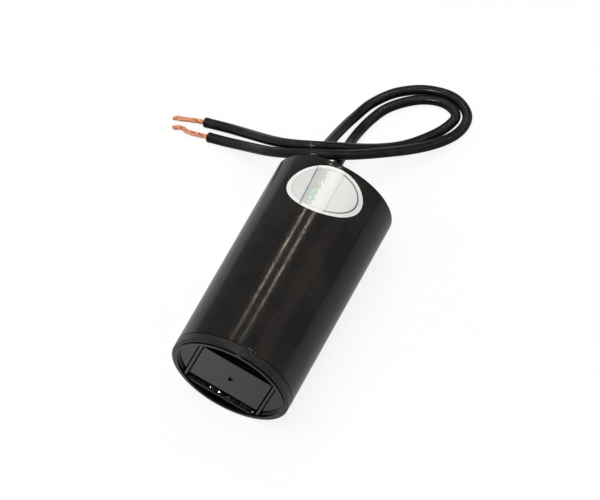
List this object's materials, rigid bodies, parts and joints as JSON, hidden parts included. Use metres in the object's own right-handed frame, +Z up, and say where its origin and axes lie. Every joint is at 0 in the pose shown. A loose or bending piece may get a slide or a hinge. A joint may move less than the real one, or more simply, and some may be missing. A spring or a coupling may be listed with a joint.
{
  "type": "motor run capacitor",
  "caption": "Round plastic-cased motor run capacitor lying on its side, with a ribbed base lid, an oval foil label and black flying leads with bare copper ends.",
  "frame": {"origin": "on the surface the case lies on, under the middle of the case and lid, leads left out", "axes": "+Y along the case axis, from the base lid to the leads; +Z up; +X to the right of someone looking along +Y"},
  "size_m": [0.0879, 0.136, 0.0401],
  "materials": {
    "case_plastic": "gloss",
    "lid_plastic": "satin",
    "resin": "gloss",
    "film": "satin",
    "wrap_film": "gloss",
    "core_plastic": "matt",
    "end_metal": "rough sprayed",
    "sleeve_plastic": "matt",
    "washer_board": "matt",
    "strap_metal": "tinned",
    "solder": "satin",
    "lead_cover": "satin",
    "copper": "bare strands",
    "label_foil": "holographic foil"
  },
  "bodies": {
    "root": {"case": "case_plastic", "base_lid": "lid_plastic", "potting_resin": "resin", "film_winding": "film", "outer_wrap": "wrap_film", "winding_core": "core_plastic", "metal_end_lid_side": "end_metal", "metal_end_lead_side": "end_metal", "strap_sleeve": "sleeve_plastic", "insulating_washer": "washer_board", "return_strap": "strap_metal", "solder_lead_a": "solder", "solder_lead_b": "solder", "solder_strap": "solder", "lead_a_insulation": "lead_cover", "lead_a_conductor": "copper", "lead_b_insulation": "lead_cover", "lead_b_conductor": "copper", "foil_label": "label_foil"}
  },
  "joints": []
}
